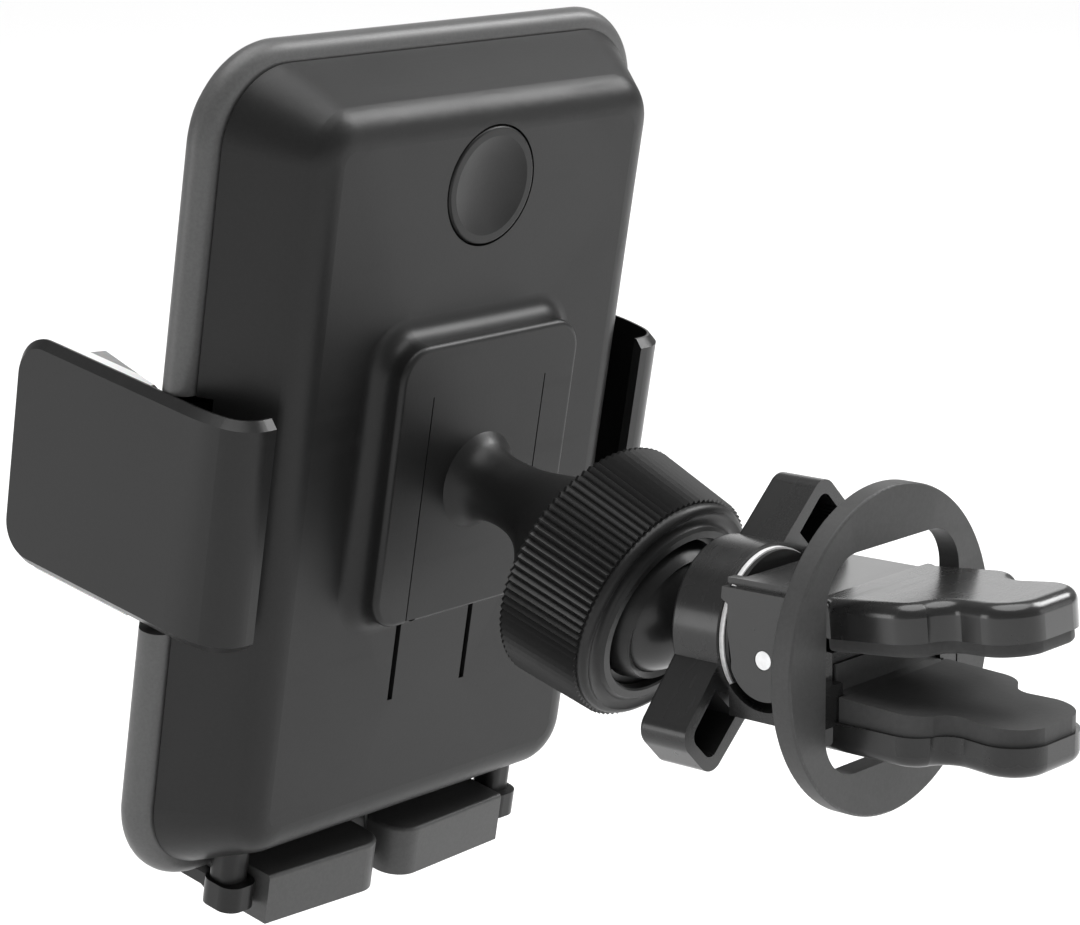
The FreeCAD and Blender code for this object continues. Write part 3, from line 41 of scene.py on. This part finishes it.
# ------------------------------------------------------------------ materials
class Graph:
    """Small helper that builds one node material."""

    def __init__(self, name):
        self.mat = bpy.data.materials.new(name)
        self.mat.use_nodes = True
        self.t = self.mat.node_tree
        self.t.nodes.clear()
        self.out = self.t.nodes.new("ShaderNodeOutputMaterial")
        self.p = self.t.nodes.new("ShaderNodeBsdfPrincipled")
        self.t.links.new(self.p.outputs[0], self.out.inputs[0])
        self.co = self.t.nodes.new("ShaderNodeTexCoord")
        self.pos = self.co.outputs["Object"]

    def noise(self, scale, detail=4.0, rough=0.55, distort=0.0):
        n = self.t.nodes.new("ShaderNodeTexNoise")
        n.inputs["Scale"].default_value = scale
        n.inputs["Detail"].default_value = detail
        n.inputs["Roughness"].default_value = rough
        n.inputs["Distortion"].default_value = distort
        self.t.links.new(self.pos, n.inputs["Vector"])
        return n.outputs["Fac"]

    def stretched(self, scale, detail):
        mp = self.t.nodes.new("ShaderNodeMapping")
        mp.inputs["Scale"].default_value = scale
        self.t.links.new(self.pos, mp.inputs["Vector"])
        n = self.t.nodes.new("ShaderNodeTexNoise")
        n.inputs["Scale"].default_value = 1.0
        n.inputs["Detail"].default_value = detail
        self.t.links.new(mp.outputs[0], n.inputs["Vector"])
        return n.outputs["Fac"]

    def ramp(self, fac, stops):
        r = self.t.nodes.new("ShaderNodeValToRGB")
        el = r.color_ramp.elements
        while len(el) < len(stops):
            el.new(0.5)
        for e, (x, c) in zip(el, stops):
            e.position = x
            e.color = (*c, 1.0) if isinstance(c, tuple) else (c, c, c, 1.0)
        self.t.links.new(fac, r.inputs["Fac"])
        return r.outputs["Color"]

    def mix(self, fac, a, b, kind="MIX"):
        m = self.t.nodes.new("ShaderNodeMix")
        m.data_type = "RGBA"
        m.blend_type = kind
        for sock, v in ((m.inputs["Factor"], fac), (m.inputs["A"], a), (m.inputs["B"], b)):
            if isinstance(v, (int, float)):
                sock.default_value = v if sock.type == "VALUE" else (v, v, v, 1)
            elif isinstance(v, tuple):
                sock.default_value = (*v, 1.0)
            else:
                self.t.links.new(v, sock)
        return m.outputs["Result"]

    def math(self, op, a, b=None):
        m = self.t.nodes.new("ShaderNodeMath")
        m.operation = op
        for i, v in enumerate((a, b)):
            if v is None:
                continue
            if isinstance(v, (int, float)):
                m.inputs[i].default_value = v
            else:
                self.t.links.new(v, m.inputs[i])
        return m.outputs[0]

    def edges(self, lo, hi):
        """Where the surface turns outwards, from the mesh's own pointiness."""
        g = self.t.nodes.new("ShaderNodeNewGeometry")
        return self.ramp(g.outputs["Pointiness"], [(lo, 0.0), (hi, 1.0)])

    def bump(self, height, strength, distance):
        b = self.t.nodes.new("ShaderNodeBump")
        b.inputs["Strength"].default_value = strength
        b.inputs["Distance"].default_value = distance
        self.t.links.new(height, b.inputs["Height"])
        self.t.links.new(b.outputs[0], self.p.inputs["Normal"])
        return b

    def put(self, name, value):
        s = self.p.inputs[name]
        if isinstance(value, (int, float)):
            s.default_value = value
        elif isinstance(value, tuple):
            s.default_value = (*value, 1.0)
        else:
            self.t.links.new(value, s)


def grey(v, warm=0.0):
    return (v * (1 + warm), v, v * (1 - warm))


def plastic(name, level, rough, grain=2600.0, bump=0.10, spread=0.10, spec=0.4, wear=0.12, rough_var=0.05, polish=0.0, marks=0.06):
    """Moulded plastic: spark-eroded grain, flow clouding, faint handling marks, polished edges."""
    g = Graph(name)
    cloud = g.noise(38.0, 3.0, 0.5)
    fine = g.noise(grain, 2.0, 0.6)
    dark, light = grey(level * (1 - spread), 0.004), grey(level * (1 + spread), 0.002)
    base = g.ramp(cloud, [(0.3, dark), (0.7, light)])
    speck = g.ramp(fine, [(0.35, grey(level * 0.84)), (0.65, grey(level * 1.18))])
    col = g.mix(0.45, base, speck)
    # sparse hairline scuffs, stretched noise cut to its crest
    sc = g.stretched((60.0, 900.0, 420.0), 3.0)
    scuff = g.ramp(sc, [(0.60, 0.0), (0.74, 1.0)])
    col = g.mix(g.math("MULTIPLY", scuff, marks), col, grey(level * 1.6 + 0.004))
    edge = g.edges(0.508, 0.56)
    col = g.mix(g.math("MULTIPLY", edge, wear), col, grey(level * 1.8 + 0.006))
    g.put("Base Color", col)
    r = g.math("ADD", g.math("MULTIPLY", g.noise(120.0, 5.0, 0.6), rough_var * 2.0), rough - rough_var)
    r = g.math("ADD", r, g.math("MULTIPLY", scuff, 0.06))
    r = g.math("SUBTRACT", r, g.math("MULTIPLY", edge, 0.06))
    g.put("Roughness", r)
    g.put("IOR", 1.46)
    g.put("Specular IOR Level", spec)
    if polish:
        g.put("Coat Weight", polish)
        g.put("Coat Roughness", 0.16)
    g.bump(fine, bump, 0.00006)
    return g.mat


def rubber(name, level, rough, grain=1500.0, bump=0.22, spec=0.3):
    g = Graph(name)
    fine = g.noise(grain, 3.0, 0.65)
    cloud = g.noise(60.0, 4.0, 0.6)
    col = g.mix(0.5, g.ramp(cloud, [(0.3, grey(level * 0.88)), (0.7, grey(level * 1.1))]), g.ramp(fine, [(0.35, grey(level * 0.82)), (0.65, grey(level * 1.14))]))
    edge = g.edges(0.508, 0.56)
    col = g.mix(g.math("MULTIPLY", edge, 0.15), col, grey(level * 1.4 + 0.01))
    g.put("Base Color", col)
    g.put("Roughness", g.math("ADD", g.math("MULTIPLY", cloud, 0.12), rough - 0.06))
    g.put("IOR", 1.43)
    g.put("Specular IOR Level", spec)
    g.put("Sheen Weight", 0.08)
    g.put("Sheen Roughness", 0.5)
    g.bump(fine, bump, 0.00008)
    return g.mat


def silicone(name, light, dark, at):
    """Pale silicone liner along the arm's plate; inside of it, where |x| is under `at`, the wedge is painted in the
    dark level as painted shade on the same silicone.
    """
    g = Graph(name)
    sep = g.t.nodes.new("ShaderNodeSeparateXYZ")
    g.t.links.new(g.pos, sep.inputs[0])
    across = g.math("ABSOLUTE", sep.outputs["X"])
    unshaded_liner_mask = g.math("GREATER_THAN", across, at)
    fine = g.noise(1500.0, 3.0, 0.6)
    cloud = g.noise(70.0, 4.0, 0.6)
    a = g.mix(0.5, g.ramp(cloud, [(0.3, grey(light * 0.96)), (0.7, grey(light))]), g.ramp(fine, [(0.35, grey(light * 0.95)), (0.65, grey(light * 1.03))]))
    b = g.mix(0.5, g.ramp(cloud, [(0.3, grey(dark * 0.9)), (0.7, grey(dark * 1.08))]), g.ramp(fine, [(0.35, grey(dark * 0.88)), (0.65, grey(dark * 1.12))]))
    # painted shade: the wedge part takes the dark level instead of the pale silicone colour
    g.put("Base Color", g.mix(unshaded_liner_mask, b, a))
    g.put("Roughness", g.math("ADD", g.math("MULTIPLY", cloud, 0.14), 0.5))
    g.put("Specular IOR Level", 0.35)
    g.put("Subsurface Weight", 0.12)
    g.put("Subsurface Scale", 0.0006)
    g.bump(fine, 0.12, 0.00006)
    return g.mat


def metal(name, level, rough):
    g = Graph(name)
    n = g.stretched((40.0, 1200.0, 1200.0), 4.0)
    col = g.ramp(n, [(0.3, grey(level * 0.85)), (0.7, grey(level * 1.1, -0.01))])
    edge = g.edges(0.508, 0.56)
    col = g.mix(g.math("MULTIPLY", edge, 0.25), col, grey(min(1.0, level * 1.5 + 0.02)))
    g.put("Base Color", col)
    g.put("Metallic", 1.0)
    g.put("Roughness", g.math("ADD", g.math("MULTIPLY", n, 0.15), rough - 0.07))
    g.bump(n, 0.15, 0.00004)
    return g.mat


M = {
    "case_grey": plastic("case_grey_plastic", 0.085, 0.42, grain=2400, bump=0.10, spec=0.45),
    "case_black": plastic("case_black_plastic", 0.011, 0.40, grain=2600, bump=0.10, spec=0.34),
    "part_black": plastic("part_black_plastic", 0.011, 0.36, grain=2200, bump=0.10, spec=0.34),
    "soft_grey": rubber("soft_grey_rubber", 0.045, 0.62),
    # soft_light: pale silicone, with the inner wedge painted darker as shade
    "soft_light": silicone("pale_silicone_painted_shade", 0.80, 0.26, 0.0352),
    "foot_grey": plastic("foot_grey_plastic", 0.062, 0.48, grain=2200, bump=0.14, spec=0.4),
    "nylon_white": plastic("nylon_white", 0.74, 0.4, grain=1800, bump=0.05, spread=0.03, wear=0.0, marks=0.0),
    "steel": metal("bright_steel", 0.6, 0.3),
    "black_screw": metal("black_screw_steel", 0.06, 0.45),
}
EXTRA = {
    "support_ring": plastic("ring_grey_plastic", 0.050, 0.50, grain=2400, bump=0.10, spec=0.35),
    "upper_jaw": plastic("jaw_satin_plastic", 0.014, 0.27, grain=2000, bump=0.03, spec=0.5, polish=0.35, marks=0.03),
    "clip_frame": plastic("clip_satin_plastic", 0.012, 0.31, grain=2200, bump=0.05, spec=0.42, polish=0.12, marks=0.03),
    "wing_nut": plastic("wing_satin_plastic", 0.015, 0.32, grain=2200, bump=0.05, spec=0.45, polish=0.12, marks=0.04),
    "ball_nut": plastic("nut_matte_plastic", 0.010, 0.42, grain=2400, bump=0.16, spec=0.34),
}
SLOTS = {s["node"]: s["material_slot"] for s in frame["record"]["subparts"]}
for name, ob in nodes.items():
    mat = EXTRA.get(name) or M[SLOTS[name]]
    if not ob.material_slots:
        ob.data.materials.append(mat)
    for s in ob.material_slots:
        s.material = mat

# ------------------------------------------------------------------ stage
def stage_material(name, level, rough):
    g = Graph(name)
    g.put("Base Color", g.ramp(g.noise(3.0, 2.0), [(0.3, grey(level * 0.995)), (0.7, grey(level))]))
    g.put("Roughness", rough)
    return g.mat


lo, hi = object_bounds()
bpy.ops.mesh.primitive_plane_add(size=8.0, location=(0, 0, lo.z - 0.05))
floor = bpy.context.object
floor.name = "floor"
floor.data.materials.append(stage_material("floor_white", 0.86, 0.6))

world = bpy.data.worlds.new("studio")
bpy.context.scene.world = world
world.use_nodes = True
bg = world.node_tree.nodes["Background"]
bg.inputs[0].default_value = (1.0, 1.0, 1.0, 1.0)
bg.inputs[1].default_value = 0.30

centre = Vector((0.0, -0.05, 0.0))


def area(name, at, size, power, target=centre, size_y=None):
    d = bpy.data.lights.new(name, "AREA")
    d.energy = power
    d.size = size
    if size_y:
        d.shape = "RECTANGLE"
        d.size_y = size_y
    o = bpy.data.objects.new(name, d)
    bpy.context.collection.objects.link(o)
    o.location = at
    o.rotation_mode = "QUATERNION"
    o.rotation_quaternion = (Vector(at) - Vector(target)).to_track_quat("Z", "Y")
    return o


# ------------------------------------------------------------------ camera
cam_data = bpy.data.cameras.new("camera")
cam = bpy.data.objects.new("camera", cam_data)
bpy.context.collection.objects.link(cam)
bpy.context.scene.camera = cam
cam_data.sensor_width = 36.0
cam_data.lens = 111.755
az, el = math.radians(131.71), math.radians(12.47)
back = Vector((math.sin(az) * math.cos(el), -math.cos(az) * math.cos(el), math.sin(el)))
level_right = Vector((0, 0, 1)).cross(back).normalized()
level_up = back.cross(level_right)
roll = math.radians(-0.5)
right = level_right * math.cos(roll) + level_up * math.sin(roll)
up = -level_right * math.sin(roll) + level_up * math.cos(roll)
cam.matrix_world = Matrix.Translation(Vector((0.28779, 0.1940, 0.09874)) + level_right * 0.00022 + level_up * 0.00018) @ Matrix((right, up, back)).transposed().to_4x4()
cam_data.clip_start, cam_data.clip_end = 0.01, 20.0

# even light straight down keeps the floor white and lights the tops; the softboxes shape the sides
sun_data = bpy.data.lights.new("overhead", "SUN")
sun_data.energy = 2.9
sun_data.angle = math.radians(60.0)
sun = bpy.data.objects.new("overhead", sun_data)
bpy.context.collection.objects.link(sun)
sun.location = (0.0, 0.0, 1.5)
area("key", (-0.78, 0.28, 0.72), 0.50, 8.5)
area("right_fill", (-0.85, 0.85, 0.22), 0.45, 0.8)
area("back_panel", (-0.95, -0.80, 0.34), 0.55, 0.9)
area("left_strip", (0.80, -0.55, 0.05), 0.30, 1.0)
bpy.context.scene.view_settings.view_transform = "Standard"
bpy.context.scene.view_settings.look = "None"
